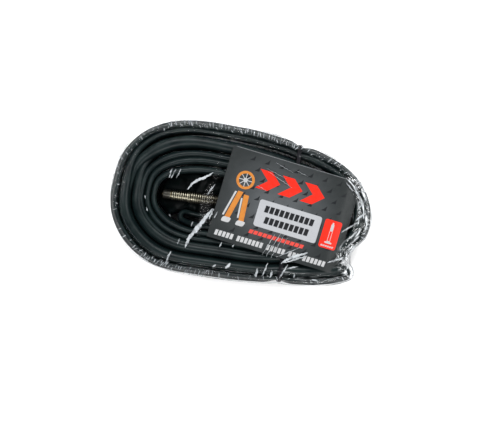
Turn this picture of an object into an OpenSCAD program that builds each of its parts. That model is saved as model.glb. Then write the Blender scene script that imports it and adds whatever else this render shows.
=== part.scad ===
// Bicycle inner tube with a long thin valve, as sold: the deflated ring is laid double,
// rolled up on edge, held by a rubber band and shrink-wrapped with a printed card.
// +Z is up, X is the long way of the roll, and the origin is under its middle, at the base.

/* [Tube] */
// Width of the tube pressed flat, which is the roll's height (mm)
flat_width = 27; // [22:0.5:32]
// Thickness of one rubber wall (mm)
wall = 0.9; // [0.6:0.1:1.0]
// Thickness of one flattened layer: two walls and the air left between them (mm)
layer = 2.6; // [2.3:0.1:2.8]
// Distance between the middles of the two layers of the doubled strip (mm)
layer_spacing = 3.0; // [2.9:0.1:3.1]
// Turns that the doubled strip makes after it first passes the left end
turns = 3.4; // [3.3:0.05:3.45]
// Points round each turn
points_per_turn = 48; // [36:12:72]

/* [Roll] */
// Middle of the hollow that the strip is rolled around (mm)
hollow_middle = [-10, -1];
// Half the size of the hollow at its left, right, top and bottom (mm)
hollow_left = 30; // [29:0.5:32]
// Half-length of the hollow on its right (mm)
hollow_right = 44; // [42:0.5:46]
// Half-width of the hollow towards +Y (mm)
hollow_top = 14.6; // [14:0.2:16]
// Half-width of the hollow towards -Y (mm)
hollow_bottom = 13; // [12.6:0.2:14]
// Growth per turn at the left end (mm)
pitch_left = 6.0; // [5.9:0.1:6.5]
// Growth per turn at the right end, where the roll is loose (mm)
pitch_right = 11; // [9:0.5:11.5]
// Growth per turn towards +Y (mm)
pitch_top = 7.5; // [7:0.1:8]
// Growth per turn towards -Y (mm)
pitch_bottom = 6.1; // [6:0.1:7]
// Power that squares the oval: 1 is an ellipse and smaller is squarer
squareness = 0.8; // [0.75:0.05:1]

/* [Valve] */
// Free end of the valve, from the middle of the roll (mm)
valve_tip = [-37.8, -1.4];
// Turn of the valve from the X axis (degrees)
valve_angle = 3; // [0:1:6]
// Length from the valve's free end to the middle of the fold that carries it (mm)
fold_reach = 50; // [48:1:52]
// Half-width of the fold (mm)
fold_half_width = 7; // [6.8:0.2:8]
// Radius of the fold's corners (mm)
fold_corner = 3.5; // [3:0.1:3.5]
// Diameter of the threaded stem (mm)
stem_d = 6; // [5.8:0.1:6.1]
// Diameter of the thinner thread at the stem's end (mm)
tip_d = 5.2; // [5:0.1:5.3]
// Distance from one thread crest to the next (mm)
thread_pitch = 1.058; // [1:0.002:1.1]
// Depth of the threads (mm)
thread_depth = 0.35; // [0.2:0.05:0.45]
// Diameter of the knurled lock nut (mm)
nut_d = 4.6; // [4:0.1:5]
// Length of the knurled lock nut (mm)
nut_length = 3.7; // [3:0.1:3.8]
// Diameter of the valve pin (mm)
pin_d = 1.5; // [1.3:0.1:1.6]

/* [Rubber band] */
// Width of the rubber band (mm)
band_width = 2; // [1.5:0.5:3]
// Thickness of the rubber band (mm)
band_thickness = 0.8; // [0.6:0.1:0.8]
// Place of the rubber band along the roll (mm)
band_x = 26; // [24:0.5:28]
// Highest and lowest Y that the rubber band goes round (mm)
band_y = [-35.4, 34.4];

/* [Card and stickers] */
// Length and width of the printed card (mm)
card_size = [66, 47];
// Thickness of the printed card (mm)
card_thickness = 0.4; // [0.3:0.1:0.6]
// Middle of the card (mm)
card_middle = [23, 1.6];
// Turn of the card and its stickers from the X axis (degrees)
card_angle = -6.2; // [-8:0.1:0]
// Radius of the card's corners (mm)
card_corner = 1; // [0.8:0.1:2]
// Length and width of the size sticker (mm)
size_sticker_size = [32, 13.6];
// Middle of the size sticker (mm)
size_sticker_middle = [25.7, -3.7];
// Length and width of the valve sticker (mm)
valve_sticker_size = [8.6, 14.3];
// Middle of the valve sticker (mm)
valve_sticker_middle = [47.6, -6.5];
// Thickness of both stickers (mm)
sticker_thickness = 0.12; // [0.08:0.02:0.2]
// Radius of the stickers' corners (mm)
sticker_corner = 1.2; // [0.5:0.1:2]

/* [Film] */
// Thickness of the shrink film (mm)
film_thickness = 0.3; // [0.2:0.05:0.4]
// Space between the outer layer of the roll and the film (mm)
film_gap = 1.55; // [1.5:0.05:2]
// Radius of the vent holes in the underside of the film (mm)
vent_r = 1.5; // [1:0.5:3]
// Distance of each vent hole from the middle of the roll (mm)
vent_reach = 40; // [30:1:45]

/* [Hidden] */
$fn = 48;

// Clear space left between pieces that lie on each other
clearance = 0.1;

// Heights of the layers, from the ground up
band_z = film_thickness + clearance;
tube_z = band_z + band_thickness + clearance;
band_top_z = tube_z + flat_width + clearance;
card_z = band_top_z + band_thickness + clearance;
sticker_z = card_z + card_thickness;
film_top_z = sticker_z + sticker_thickness + clearance;
valve_z = tube_z + flat_width / 2;

// ---- Outline of the roll ----

function squared(x) = sign(x) * pow(abs(x), squareness);

// Middle of the doubled strip after n turns from the left end, anticlockwise
function strip_point(n) =
    let (
        angle = 180 + 360 * n,
        across = cos(angle) > 0 ? hollow_right + pitch_right * n : hollow_left + pitch_left * n,
        along = sin(angle) > 0 ? hollow_top + pitch_top * n : hollow_bottom + pitch_bottom * n
    )
    hollow_middle + [across * squared(cos(angle)), along * squared(sin(angle))];

function unit(v) = v / norm(v);
function right_of(v) = [v[1], -v[0]];
function turned(v, a) = [v[0] * cos(a) - v[1] * sin(a), v[0] * sin(a) + v[1] * cos(a)];

// Direction away from the hollow, square to the strip, after n turns
function outward(n) = unit(right_of(strip_point(n + 0.002) - strip_point(n - 0.002)));

// A stretch of the strip moved outward by a distance
function strip_run(from, to, distance) =
    let (count = ceil(abs(to - from) * points_per_turn))
    [for (i = [0:count])
        let (n = from + (to - from) * i / count)
        strip_point(n) + distance * outward(n)];

// Arc about a middle, from one direction through an angle
function arc(middle, direction, sweep, steps) =
    [for (i = [0:steps]) middle + turned(direction, sweep * i / steps)];

// Smooth curve between two places, leaving and arriving along given directions
function blend_curve(a, a_pull, b, b_pull, steps) =
    [for (i = [1:steps - 1])
        let (t = i / steps, s = 1 - t)
        s * s * s * a + 3 * s * s * t * (a + a_pull) + 3 * s * t * t * (b - b_pull) + t * t * t * b];

// Fold that carries the valve
valve_dir = turned([1, 0], valve_angle);
valve_side = turned(valve_dir, 90);
fold_inset = valve_tip + (fold_reach - fold_corner) * valve_dir;
corner_reach = (fold_half_width - fold_corner) * valve_side;
fold_top = fold_inset + fold_half_width * valve_side;
fold_bottom = fold_inset - fold_half_width * valve_side;

// The upper half joins the spiral at upper_join, and the lower half turns back on itself
// in a tight fold and joins it at lower_join
upper_join = -0.25;
lower_join = 0.18;
half_spacing = layer_spacing / 2;
tight_radius = 2.1;
upper_end = strip_point(upper_join) + half_spacing * outward(upper_join);
lower_end = strip_point(lower_join) - half_spacing * outward(lower_join);
tight_middle = lower_end - tight_radius * outward(lower_join);
tight_start = tight_middle - tight_radius * outward(lower_join);

// The ring's middle line, once round: from the valve's fold along the upper half, out to the
// tail of the roll, back along the inner half and home
tube_line = concat(
    arc(fold_inset - corner_reach, -fold_corner * valve_side, 90, 6),
    arc(fold_inset + corner_reach, fold_corner * valve_dir, 90, 6),
    blend_curve(fold_top, -8 * valve_dir, upper_end, [-5, 0], 8),
    strip_run(upper_join, turns, half_spacing),
    arc(strip_point(turns), half_spacing * outward(turns), 180, 8),
    strip_run(turns, lower_join, -half_spacing),
    arc(tight_middle, tight_radius * outward(lower_join), -180, 8),
    blend_curve(tight_start, -10 * right_of(outward(lower_join)), fold_bottom, 10 * valve_dir, 10)
);

// Repeated points are dropped, so that every point has a direction
function distinct(line) =
    [for (i = [0:len(line) - 1])
        if (norm(line[i] - line[(i + 1) % len(line)]) > 0.01) line[i]];

// A closed line moved sideways by a distance, positive to the right of its travel
function beside(line, distance) =
    let (count = len(line))
    [for (i = [0:count - 1])
        line[i] + distance * unit(right_of(line[(i + 1) % count] - line[(i + count - 1) % count]))];

ring_line = distinct(tube_line);

// Closed line of the film: the outer turn moved outward, a round end over the tail, and a
// straight stretch back to the turn inside it
film_reach = half_spacing + layer / 2 + film_gap;
film_start = turns - 0.95;
film_line = distinct(concat(
    strip_run(film_start, turns, film_reach),
    arc(strip_point(turns), film_reach * outward(turns), 120, 10)
));
film_outline = beside(film_line, film_thickness);

// The film's outline is centred on the origin
function middle_of(line, axis) =
    let (values = [for (p = line) p[axis]])
    (min(values) + max(values)) / 2;
centre = [middle_of(film_outline, 0), middle_of(film_outline, 1)];

module centred() { translate([-centre[0], -centre[1], 0]) children(); }

// Flat region within a distance of a closed line
module ribbon(line, distance) {
    count = len(line);
    polygon(
        concat(beside(line, distance), beside(line, -distance)),
        paths = [[for (i = [0:count - 1]) i], [for (i = [0:count - 1]) count + i]]
    );
}

// ---- Tube and valve ----

// The valve's own frame: +Z runs from its free end into the tube
module on_valve() {
    centred() translate([valve_tip[0], valve_tip[1], valve_z]) rotate([0, 90, valve_angle]) children();
}

// Places along the valve, from its free end (mm)
nut_start = 0.1;
core_start = nut_start + nut_length + clearance;
stem_start = core_start + 0.3;
tip_length = 8.5;
core_end = 14;
nose_end = 16.5;
patch_end = fold_reach - layer / 2 - clearance;
patch_thickness = 1.2;
collar_length = 1.5;
foot_thickness = 1.1;
foot_start = patch_end - patch_thickness - collar_length - foot_thickness;
foot_r = 3.2;
air_r = 1.5;
core_bore_r = 2;
seat_bore_r = 1.6;
core_r = 1.95;
nose_r = 1.45;
pin_bore_r = pin_d / 2 + 0.05;
seal_r = 1.25;

module tube() {
    color("#2a3133")
    difference() {
        centred() translate([0, 0, tube_z]) linear_extrude(flat_width) ribbon(ring_line, layer / 2);
        centred() translate([0, 0, tube_z + wall])
            linear_extrude(flat_width - 2 * wall) ribbon(ring_line, layer / 2 - wall);
        on_valve() translate([0, 0, patch_end]) cylinder(h = wall + clearance + 0.4, r = air_r);
    }
}

// Oval pad inside the fold, with a collar for the valve's foot
module valve_patch() {
    pad_r = 4;
    pad_reach = 5;
    pad_start = patch_end - patch_thickness;
    color("#23292b")
    on_valve() difference() {
        union() {
            translate([-pad_reach, -pad_r, pad_start]) cube([2 * pad_reach, 2 * pad_r, patch_thickness]);
            for (side = [-1, 1])
                translate([side * pad_reach, 0, pad_start]) cylinder(h = patch_thickness, r = pad_r);
            translate([0, 0, pad_start - collar_length])
                cylinder(h = collar_length + patch_thickness / 2, r = foot_r);
        }
        translate([0, 0, pad_start - collar_length - 1])
            cylinder(h = collar_length + patch_thickness + 2, r = air_r);
    }
}

// Crests and roots of a thread, as points of a turned outline
function thread(start, length, r) =
    let (count = floor(length / thread_pitch), pitch = length / count)
    [for (i = [0:count - 1], j = [0:3])
        [r - (j < 2 ? thread_depth : 0), start + pitch * (i + [0, 0.25, 0.5, 0.75][j])]];

module valve_stem() {
    tip_end = stem_start + tip_length;
    color("#a9a48f")
    on_valve() difference() {
        rotate_extrude() polygon(concat(
            [[0, stem_start]],
            thread(stem_start, tip_length, tip_d / 2),
            thread(tip_end, foot_start - 1.5 - tip_end, stem_d / 2),
            [
                [stem_d / 2, foot_start - 1.5],
                [stem_d / 2, foot_start],
                [foot_r, foot_start],
                [foot_r, foot_start + foot_thickness],
                [0, foot_start + foot_thickness]
            ]
        ));
        translate([0, 0, stem_start - 1]) cylinder(h = core_end + 1 + 1 - stem_start, r = core_bore_r);
        translate([0, 0, stem_start]) cylinder(h = foot_start, r = seat_bore_r);
    }
}

module core_body() {
    color("#b49a58")
    on_valve() difference() {
        union() {
            translate([0, 0, core_start]) cylinder(h = core_end - core_start, r = core_r);
            translate([0, 0, core_end - 0.1]) cylinder(h = nose_end + 0.1 - core_end, r = nose_r);
        }
        cylinder(h = nose_end + 1, r = pin_bore_r);
    }
}

// Ring that seals the core against the stem
module core_gasket() {
    color("#1d1d1d")
    on_valve() translate([0, 0, core_end + 0.03]) difference() {
        cylinder(h = 0.94, r = core_r);
        translate([0, 0, -1]) cylinder(h = 3, r = nose_r + 0.03);
    }
}

// Pin through the core, with the small flange that carries its seal
module core_pin() {
    pin_out = -0.5;
    flange_start = nose_end + 1.15;
    color("#b8b3a0")
    on_valve() {
        translate([0, 0, pin_out]) cylinder(h = flange_start + 0.2 - pin_out, r = pin_d / 2);
        translate([0, 0, flange_start]) cylinder(h = 0.5, r = seal_r - 0.1);
    }
}

module pin_seal() {
    color("#1d1d1d")
    on_valve() translate([0, 0, nose_end + 0.05]) difference() {
        cylinder(h = 1.05, r = seal_r);
        translate([0, 0, -1]) cylinder(h = 4, r = pin_d / 2 + 0.03);
    }
}

module lock_nut() {
    knurls = 16;
    knurl_width = 0.4;
    color("#8f8f8a")
    on_valve() translate([0, 0, nut_start]) difference() {
        cylinder(h = nut_length, r = nut_d / 2);
        translate([0, 0, -1]) cylinder(h = nut_length + 2, r = pin_bore_r);
        for (i = [0:knurls - 1])
            rotate([0, 0, i * 360 / knurls])
                translate([nut_d / 2 - 0.18, -knurl_width / 2, 0.5])
                    cube([1, knurl_width, nut_length - 1]);
    }
}

// ---- Band, card, stickers and film ----

module rubber_band() {
    hole_width = band_y[1] - band_y[0];
    hole_height = band_top_z - band_z - band_thickness;
    color("#15181a")
    centred() difference() {
        translate([band_x - band_width / 2, band_y[0] - band_thickness, band_z])
            cube([band_width, hole_width + 2 * band_thickness, hole_height + 2 * band_thickness]);
        translate([band_x - band_width, band_y[0], band_z + band_thickness])
            cube([2 * band_width, hole_width, hole_height]);
    }
}

// Flat sheet with round corners, turned as the card is
module sheet(size, thickness, corner, middle, z) {
    inset = [size[0] / 2 - corner, size[1] / 2 - corner];
    centred() translate([middle[0], middle[1], z]) rotate([0, 0, card_angle]) union() {
        translate([-size[0] / 2, -inset[1], 0]) cube([size[0], 2 * inset[1], thickness]);
        translate([-inset[0], -size[1] / 2, 0]) cube([2 * inset[0], size[1], thickness]);
        for (x = [-1, 1], y = [-1, 1])
            translate([x * inset[0], y * inset[1], 0]) cylinder(h = thickness, r = corner);
    }
}

module card() {
    color("#45494b") sheet(card_size, card_thickness, card_corner, card_middle, card_z);
}

module sticker(size, middle) {
    sheet(size, sticker_thickness, sticker_corner, middle, sticker_z);
}

module size_sticker() { color("#c9cbcc") sticker(size_sticker_size, size_sticker_middle); }

module valve_sticker() { color("#e0301e") sticker(valve_sticker_size, valve_sticker_middle); }

module film_wrap() {
    color([0.85, 0.88, 0.9, 0.35])
    centred() difference() {
        linear_extrude(film_top_z + film_thickness) polygon(film_outline);
        translate([0, 0, film_thickness]) linear_extrude(film_top_z - film_thickness) polygon(film_line);
        for (side = [-1, 1])
            translate([side * vent_reach, 0, -1]) cylinder(h = film_thickness + 1.5, r = vent_r);
    }
}

tube();
valve_patch();
valve_stem();
core_body();
core_gasket();
core_pin();
pin_seal();
lock_nut();
rubber_band();
card();
size_sticker();
valve_sticker();
film_wrap();
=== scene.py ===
"""Looks, light and camera for a rolled and shrink-wrapped bicycle inner tube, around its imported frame."""
import math

import bmesh
import bpy
import numpy as np
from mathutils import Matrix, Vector


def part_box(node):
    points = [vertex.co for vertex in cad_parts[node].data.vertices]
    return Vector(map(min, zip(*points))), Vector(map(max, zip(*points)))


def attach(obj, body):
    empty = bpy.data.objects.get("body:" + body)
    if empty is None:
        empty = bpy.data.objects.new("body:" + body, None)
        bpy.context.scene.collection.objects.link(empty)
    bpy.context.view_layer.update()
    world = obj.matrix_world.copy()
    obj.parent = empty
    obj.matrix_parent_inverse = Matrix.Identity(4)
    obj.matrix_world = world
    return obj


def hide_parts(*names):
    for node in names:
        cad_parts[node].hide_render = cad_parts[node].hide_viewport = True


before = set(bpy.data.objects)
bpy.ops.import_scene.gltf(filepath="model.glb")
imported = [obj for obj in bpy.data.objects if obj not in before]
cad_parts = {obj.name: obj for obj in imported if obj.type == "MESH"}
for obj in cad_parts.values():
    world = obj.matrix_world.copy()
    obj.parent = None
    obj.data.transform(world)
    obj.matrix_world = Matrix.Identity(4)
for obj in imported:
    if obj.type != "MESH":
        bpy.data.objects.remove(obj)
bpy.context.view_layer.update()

MM = 0.001
RANDOM = np.random.default_rng(11)


# ---- Small tools. Lengths are in millimetres until a mesh is made. ----

def box_mm(node):
    """Lowest and highest corner of a CAD node, in millimetres."""
    low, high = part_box(node)
    return np.array(low) / MM, np.array(high) / MM


def smooth_step(low, high, value):
    t = np.clip((value - low) / (high - low), 0, 1)
    return t * t * (3 - 2 * t)


def turned(vector, degrees):
    a = math.radians(degrees)
    x, y = vector[..., 0], vector[..., 1]
    return np.stack([x * math.cos(a) - y * math.sin(a), x * math.sin(a) + y * math.cos(a)], axis=-1)


def unit(vectors):
    return vectors / np.maximum(np.linalg.norm(vectors, axis=-1, keepdims=True), 1e-9)


def right_of(vectors):
    return np.stack([vectors[..., 1], -vectors[..., 0]], axis=-1)


class Waves:
    """Smooth random values from -1 to 1: a sum of sines with one typical wavelength."""

    def __init__(self, wavelength, axes=2, count=7):
        directions = unit(RANDOM.normal(size=(count, axes)))
        lengths = wavelength * RANDOM.uniform(0.6, 1.6, count)
        self.steps = directions * (2 * math.pi / lengths)[:, None]
        self.phases = RANDOM.uniform(0, 2 * math.pi, count)
        self.scale = 1 / math.sqrt(count)

    def __call__(self, *coordinates):
        places = np.stack(np.broadcast_arrays(*coordinates), axis=-1)
        return np.clip(np.sin(places @ self.steps.T + self.phases).sum(-1) * self.scale, -1, 1)


def resampled(line, step, closed=True):
    """Evenly spaced points along a line whose first two columns are x and y."""
    if closed:
        line = np.concatenate([line, line[:1]])
    lengths = np.linalg.norm(np.diff(line[:, :2], axis=0), axis=1)
    keep = np.concatenate([[True], lengths > 1e-6])
    line = line[keep]
    along = np.concatenate([[0], np.cumsum(lengths[lengths > 1e-6])])
    count = max(2, round(along[-1] / step))
    at = np.linspace(0, along[-1], count, endpoint=False) if closed else np.linspace(0, along[-1], count + 1)
    return np.stack([np.interp(at, along, column) for column in line.T], axis=1)


def outward_of(line):
    """Unit vectors to the right of a closed line's travel."""
    return unit(right_of(np.roll(line[:, :2], -1, 0) - np.roll(line[:, :2], 1, 0)))


def make_mesh(name, points, faces, materials, smooth=True, uv=None, values=None, face_material=None):
    """A mesh object from points in millimetres. values are named numbers, one for each point."""
    mesh = bpy.data.meshes.new(name)
    mesh.from_pydata((np.asarray(points) * MM).tolist(), [], faces)
    for material in materials:
        mesh.materials.append(material)
    if face_material is not None:
        mesh.polygons.foreach_set("material_index", face_material)
    mesh.polygons.foreach_set("use_smooth", [smooth] * len(mesh.polygons))
    if uv is not None:
        layer = mesh.uv_layers.new(name="UVMap")
        for loop in mesh.loops:
            layer.data[loop.index].uv = uv[loop.vertex_index]
    for key, numbers in (values or {}).items():
        attribute = mesh.attributes.new(key, "FLOAT", "POINT")
        attribute.data.foreach_set("value", np.asarray(numbers, float))
    whole = bmesh.new()
    whole.from_mesh(mesh)
    bmesh.ops.recalc_face_normals(whole, faces=whole.faces)
    whole.to_mesh(mesh)
    whole.free()
    thing = bpy.data.objects.new(name, mesh)
    bpy.context.scene.collection.objects.link(thing)
    return thing


def place_piece(thing, replaces=()):
    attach(thing, "roll")
    if replaces:
        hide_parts(*replaces)
    return thing


def ring_faces(rings, around, close_ends=False):
    """Quads between rings of points, each ring closed. With close_ends, the last ring joins the first."""
    faces = []
    for i in range(rings if close_ends else rings - 1):
        a, b = i * around, ((i + 1) % rings) * around
        for j in range(around):
            k = (j + 1) % around
            faces.append((a + j, a + k, b + k, b + j))
    return faces


# ---- Materials: every one is built from nodes ----

class Surface:
    """A material's node tree, with a Principled shader unless another one is put in."""

    def __init__(self, name, **constants):
        self.material = bpy.data.materials.new(name)
        self.material.use_nodes = True
        self.tree = self.material.node_tree
        self.shader = self.tree.nodes["Principled BSDF"]
        self.output = self.tree.nodes["Material Output"]
        for key, value in constants.items():
            self.shader.inputs[key.replace("_", " ")].default_value = value

    def add(self, kind, inputs=None, **settings):
        node = self.tree.nodes.new("ShaderNode" + kind)
        for key, value in settings.items():
            setattr(node, key, value)
        for key, value in (inputs or {}).items():
            self.set(node.inputs[key], value)
        return node

    def set(self, socket, value):
        if isinstance(value, bpy.types.NodeSocket):
            self.tree.links.new(value, socket)
        else:
            socket.default_value = value

    def where(self, name="Object"):
        return self.add("TexCoord").outputs[name]

    def noise(self, size_mm, detail=3.0, roughness=0.55, where=None):
        """Noise from 0 to 1 whose features are about that size."""
        node = self.add("TexNoise", {
            "Vector": where or self.where(), "Scale": 1.0 if where else 1 / (size_mm * MM),
            "Detail": detail, "Roughness": roughness,
        })
        return node.outputs["Fac"]

    def remap(self, value, low, high, to_low=0.0, to_high=1.0):
        node = self.add("MapRange", {
            "Value": value, "From Min": low, "From Max": high, "To Min": to_low, "To Max": to_high,
        })
        return node.outputs["Result"]

    def blend(self, factor, a, b):
        node = self.add("Mix", data_type="RGBA")
        self.set(node.inputs["Factor"], factor)
        self.set(node.inputs[6], (*a, 1) if isinstance(a, tuple) else a)
        self.set(node.inputs[7], (*b, 1) if isinstance(b, tuple) else b)
        return node.outputs[2]

    def maths(self, operation, a, b=0.0):
        return self.add("Math", {0: a, 1: b}, operation=operation).outputs[0]

    def bump(self, height, strength, distance_mm, after=None):
        inputs = {"Height": height, "Strength": strength, "Distance": distance_mm * MM}
        if after is not None:
            inputs["Normal"] = after
        return self.add("Bump", inputs).outputs["Normal"]

    def drive(self, **sockets):
        for key, value in sockets.items():
            self.set(self.shader.inputs[key.replace("_", " ")], value)
        return self.material


def butyl_material(name, shine):
    s = Surface(name, Specular_IOR_Level=shine)
    dust = s.remap(s.noise(9, detail=5), 0.35, 0.7)
    grain = s.noise(0.8, detail=2)
    colour = s.blend(dust, (0.0015, 0.004, 0.0045), (0.006, 0.011, 0.011))
    rough = s.remap(s.noise(4, detail=4), 0.3, 0.7, 0.32, 0.48)
    normal = s.bump(grain, 0.1, 0.02, s.bump(s.noise(4, detail=2), 0.3, 0.15))
    return s.drive(Base_Color=colour, Roughness=rough, Normal=normal)


def painted_thread_root_shade(s, colour):
    """The colour with painted shade in the stem's thread roots. The thread at its end is thinner than the
    rest.
    """
    middle, half_length = (STEM_LOW + STEM_HIGH) / 2, (STEM_HIGH - STEM_LOW)[0] / 2
    turn = s.add("VectorRotate", {
        "Vector": s.where(), "Center": middle * MM, "Angle": math.radians(-VALVE_ANGLE),
    }, rotation_type="Z_AXIS").outputs[0]
    from_middle = s.add("VectorMath", {0: turn, 1: middle * MM}, operation="SUBTRACT").outputs[0]
    across = s.add("VectorMath", {0: from_middle, 1: (0, 1, 1)}, operation="MULTIPLY").outputs[0]
    radius = s.add("VectorMath", {0: across}, operation="LENGTH").outputs["Value"]
    along = s.add("SeparateXYZ", {"Vector": from_middle}).outputs[0]
    thin_end = (THIN_THREAD_LENGTH - half_length) * MM
    root_radius = s.remap(along, thin_end, thin_end + 0.1 * MM, 2.3 * MM, 2.7 * MM)
    # painted shade: near black at the thread's roots, fading out 0.2 mm above them
    root = s.remap(s.maths("SUBTRACT", radius, root_radius), 0.2 * MM, 0)
    return s.blend(root, colour, (0.03, 0.027, 0.02))


def metal_material(name, light, dark, roughness, threaded=False):
    """Plated metal, with painted shade that darkens it the further it goes into the roll."""
    s = Surface(name, Metallic=1.0)
    stain = s.remap(s.noise(1.3, detail=4), 0.35, 0.7)
    depth = s.add("SeparateXYZ", {"Vector": s.where()}).outputs[0]
    # painted shade: from x = -30 mm to -12 mm the colour fades to near black, where the parts go into the
    # roll's shadow
    painted_depth_shade = s.remap(depth, -0.030, -0.012)
    colour = s.blend(painted_depth_shade, s.blend(stain, light, dark), (0.03, 0.028, 0.022))
    if threaded:
        colour = painted_thread_root_shade(s, colour)
    rough = s.remap(s.noise(0.4, detail=3), 0.3, 0.7, roughness, roughness + 0.2)
    return s.drive(Base_Color=colour, Roughness=rough, Normal=s.bump(s.noise(0.15), 0.2, 0.01))


def black_rubber_material(name, colour, roughness, shine):
    s = Surface(name, Specular_IOR_Level=shine)
    bloom = s.remap(s.noise(3, detail=4), 0.35, 0.75)
    pale = tuple(2.2 * c for c in colour)
    rough = s.remap(s.noise(1.5), 0.3, 0.7, roughness, roughness + 0.15)
    normal = s.bump(s.noise(0.8, detail=2), 0.2, 0.02)
    return s.drive(Base_Color=s.blend(bloom, colour, pale), Roughness=rough, Normal=normal)


def card_material():
    """Printed card: dark at its edges by painted shade, mid-grey across the middle by a painted pool of
    light, with fibres just showing.
    """
    s = Surface("printed_card", Specular_IOR_Level=0.2, Coat_Weight=0.08, Coat_Roughness=0.2)
    across = s.add("SeparateXYZ", {"Vector": s.where("UV")})
    x, y = across.outputs[0], across.outputs[1]
    from_middle = s.maths("ABSOLUTE", s.maths("SUBTRACT", x, 0.45))
    from_line = s.maths("ABSOLUTE", s.maths("SUBTRACT", y, 0.52))
    # painted light: brightest about the card's middle, falling to painted shade towards its edges
    painted_light_pool = s.maths("MULTIPLY", s.remap(from_middle, 0.5, 0.12), s.remap(from_line, 0.6, 0.1))
    cloud = s.remap(s.noise(11, detail=3), 0.3, 0.7, 0.75, 1.1)
    colour = s.blend(s.maths("MULTIPLY", painted_light_pool, cloud), (0.008, 0.010, 0.010), (0.050, 0.054, 0.057))
    rough = s.remap(s.noise(2), 0.3, 0.7, 0.38, 0.5)
    return s.drive(Base_Color=colour, Roughness=rough, Normal=s.bump(s.noise(3, detail=2), 0.1, 0.05))


def ink_material(name, colour, worn, roughness=0.4):
    """Printed ink or a printed sticker, with faint wear."""
    s = Surface(name, Specular_IOR_Level=0.15)
    wear = s.remap(s.noise(1.8, detail=5), 0.45, 0.8, 0.0, 0.6)
    rough = s.remap(s.noise(0.8), 0.3, 0.7, roughness, roughness + 0.12)
    normal = s.bump(s.noise(2, detail=2), 0.1, 0.02)
    return s.drive(Base_Color=s.blend(wear, colour, worn), Roughness=rough, Normal=normal)


def film_material():
    """Clear film: see-through, glossy, and with painted highlights in white along its gathers and crumples.
    """
    s = Surface("shrink_film")
    normal = s.bump(s.noise(5, detail=2), 0.25, 0.4)
    clear = s.add("BsdfTransparent", {"Color": (0.97, 0.975, 0.98, 1)}).outputs[0]
    gloss = s.add("BsdfGlossy", {"Color": (1, 1, 1, 1), "Roughness": 0.12, "Normal": normal}).outputs[0]
    crumpled = s.add("Attribute", attribute_name="crumpled").outputs[2]
    gathered = s.add("Attribute", attribute_name="gathered").outputs[2]
    tight = s.remap(crumpled, 0, 1, 0.15, 1)
    mirror = s.maths("MULTIPLY", s.add("Fresnel", {"IOR": 1.5, "Normal": normal}).outputs[0], tight)
    mirror = s.maths("MINIMUM", mirror, s.remap(tight, 0.15, 1, 0.004, 0.05))
    wrap = s.add("MixShader", {0: mirror, 1: clear, 2: gloss}).outputs[0]
    unrolled = s.where("UV")
    upright = s.add("Mapping", {"Vector": unrolled, "Scale": (1.7, 0.22, 0)}).outputs[0]
    level = s.add("Mapping", {"Vector": unrolled, "Scale": (0.12, 0.8, 0)}).outputs[0]
    gathers = s.noise(1, where=upright)
    streaks = s.noise(1, detail=4, where=level)
    # painted highlights: white ticks along the gathered shoulder and white streaks on the crumples stand in
    # for their glints
    painted_tick_glints = s.maths("MULTIPLY", s.remap(gathers, 0.57, 0.66, 0, 0.03), gathered)
    lines = s.maths("MULTIPLY", s.remap(streaks, 0.52, 0.64), crumpled)
    white = s.add("BsdfDiffuse", {"Color": (0.62, 0.65, 0.67, 1)}).outputs[0]
    top = s.add("MixShader", {0: s.maths("MAXIMUM", painted_tick_glints, lines), 1: wrap, 2: white}).outputs[0]
    s.tree.nodes.remove(s.shader)
    s.set(s.output.inputs["Surface"], top)
    return s.material


def crease_material(name, light, dark, opacity):
    """A fold in the film, with a painted highlight: pale, mottled and partly see-through."""
    s = Surface(name, Specular_IOR_Level=0.3)
    # painted highlight: a patchy pale colour that stands in for the fold's glint
    painted_glint_mottle = s.remap(s.noise(2.6, detail=3), 0.30, 0.55)
    fold = s.drive(Base_Color=s.blend(painted_glint_mottle, dark, light), Roughness=s.remap(painted_glint_mottle, 0, 1, 0.25, 0.45))
    clear = s.add("BsdfTransparent", {"Color": (1, 1, 1, 1)}).outputs[0]
    amount = s.remap(painted_glint_mottle, 0, 1, 0.6 * opacity, opacity)
    painted_glint_fold = s.add("MixShader", {0: amount, 1: clear, 2: s.shader.outputs[0]}).outputs[0]
    s.set(s.output.inputs["Surface"], painted_glint_fold)
    return fold


def floor_material():
    s = Surface("pale_floor")
    colour = s.blend(s.noise(60, detail=2), (0.93, 0.93, 0.93), (0.96, 0.96, 0.96))
    return s.drive(Base_Color=colour, Roughness=s.remap(s.noise(20), 0, 1, 0.75, 0.9))


VALVE_TIP = np.array([-37.8, -1.4])
VALVE_ANGLE = 3.0
THIN_THREAD_LENGTH = 8.5
STEM_LOW, STEM_HIGH = box_mm("valve_stem")

BUTYL = butyl_material("butyl_rubber", 0.14)
MATTE_BUTYL = butyl_material("matte_butyl_rubber", 0.03)
NICKEL = metal_material("nickel_plate", (0.50, 0.465, 0.365), (0.25, 0.23, 0.165), 0.3, threaded=True)
# A darker copy of the nickel plate for the lock nut: painted shade, where the nut looks dim beside the bright
# thread
SHADED_NICKEL = metal_material("nickel_plate_painted_shade", (0.12, 0.115, 0.10), (0.07, 0.065, 0.055), 0.4)
BRASS = metal_material("brass", (0.34, 0.28, 0.16), (0.20, 0.15, 0.08), 0.3)
SEAL = black_rubber_material("seal_rubber", (0.010, 0.010, 0.010), 0.55, 0.4)
BAND = black_rubber_material("band_rubber", (0.003, 0.003, 0.004), 0.6, 0.08)
CARD = card_material()
FILM = film_material()
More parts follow.
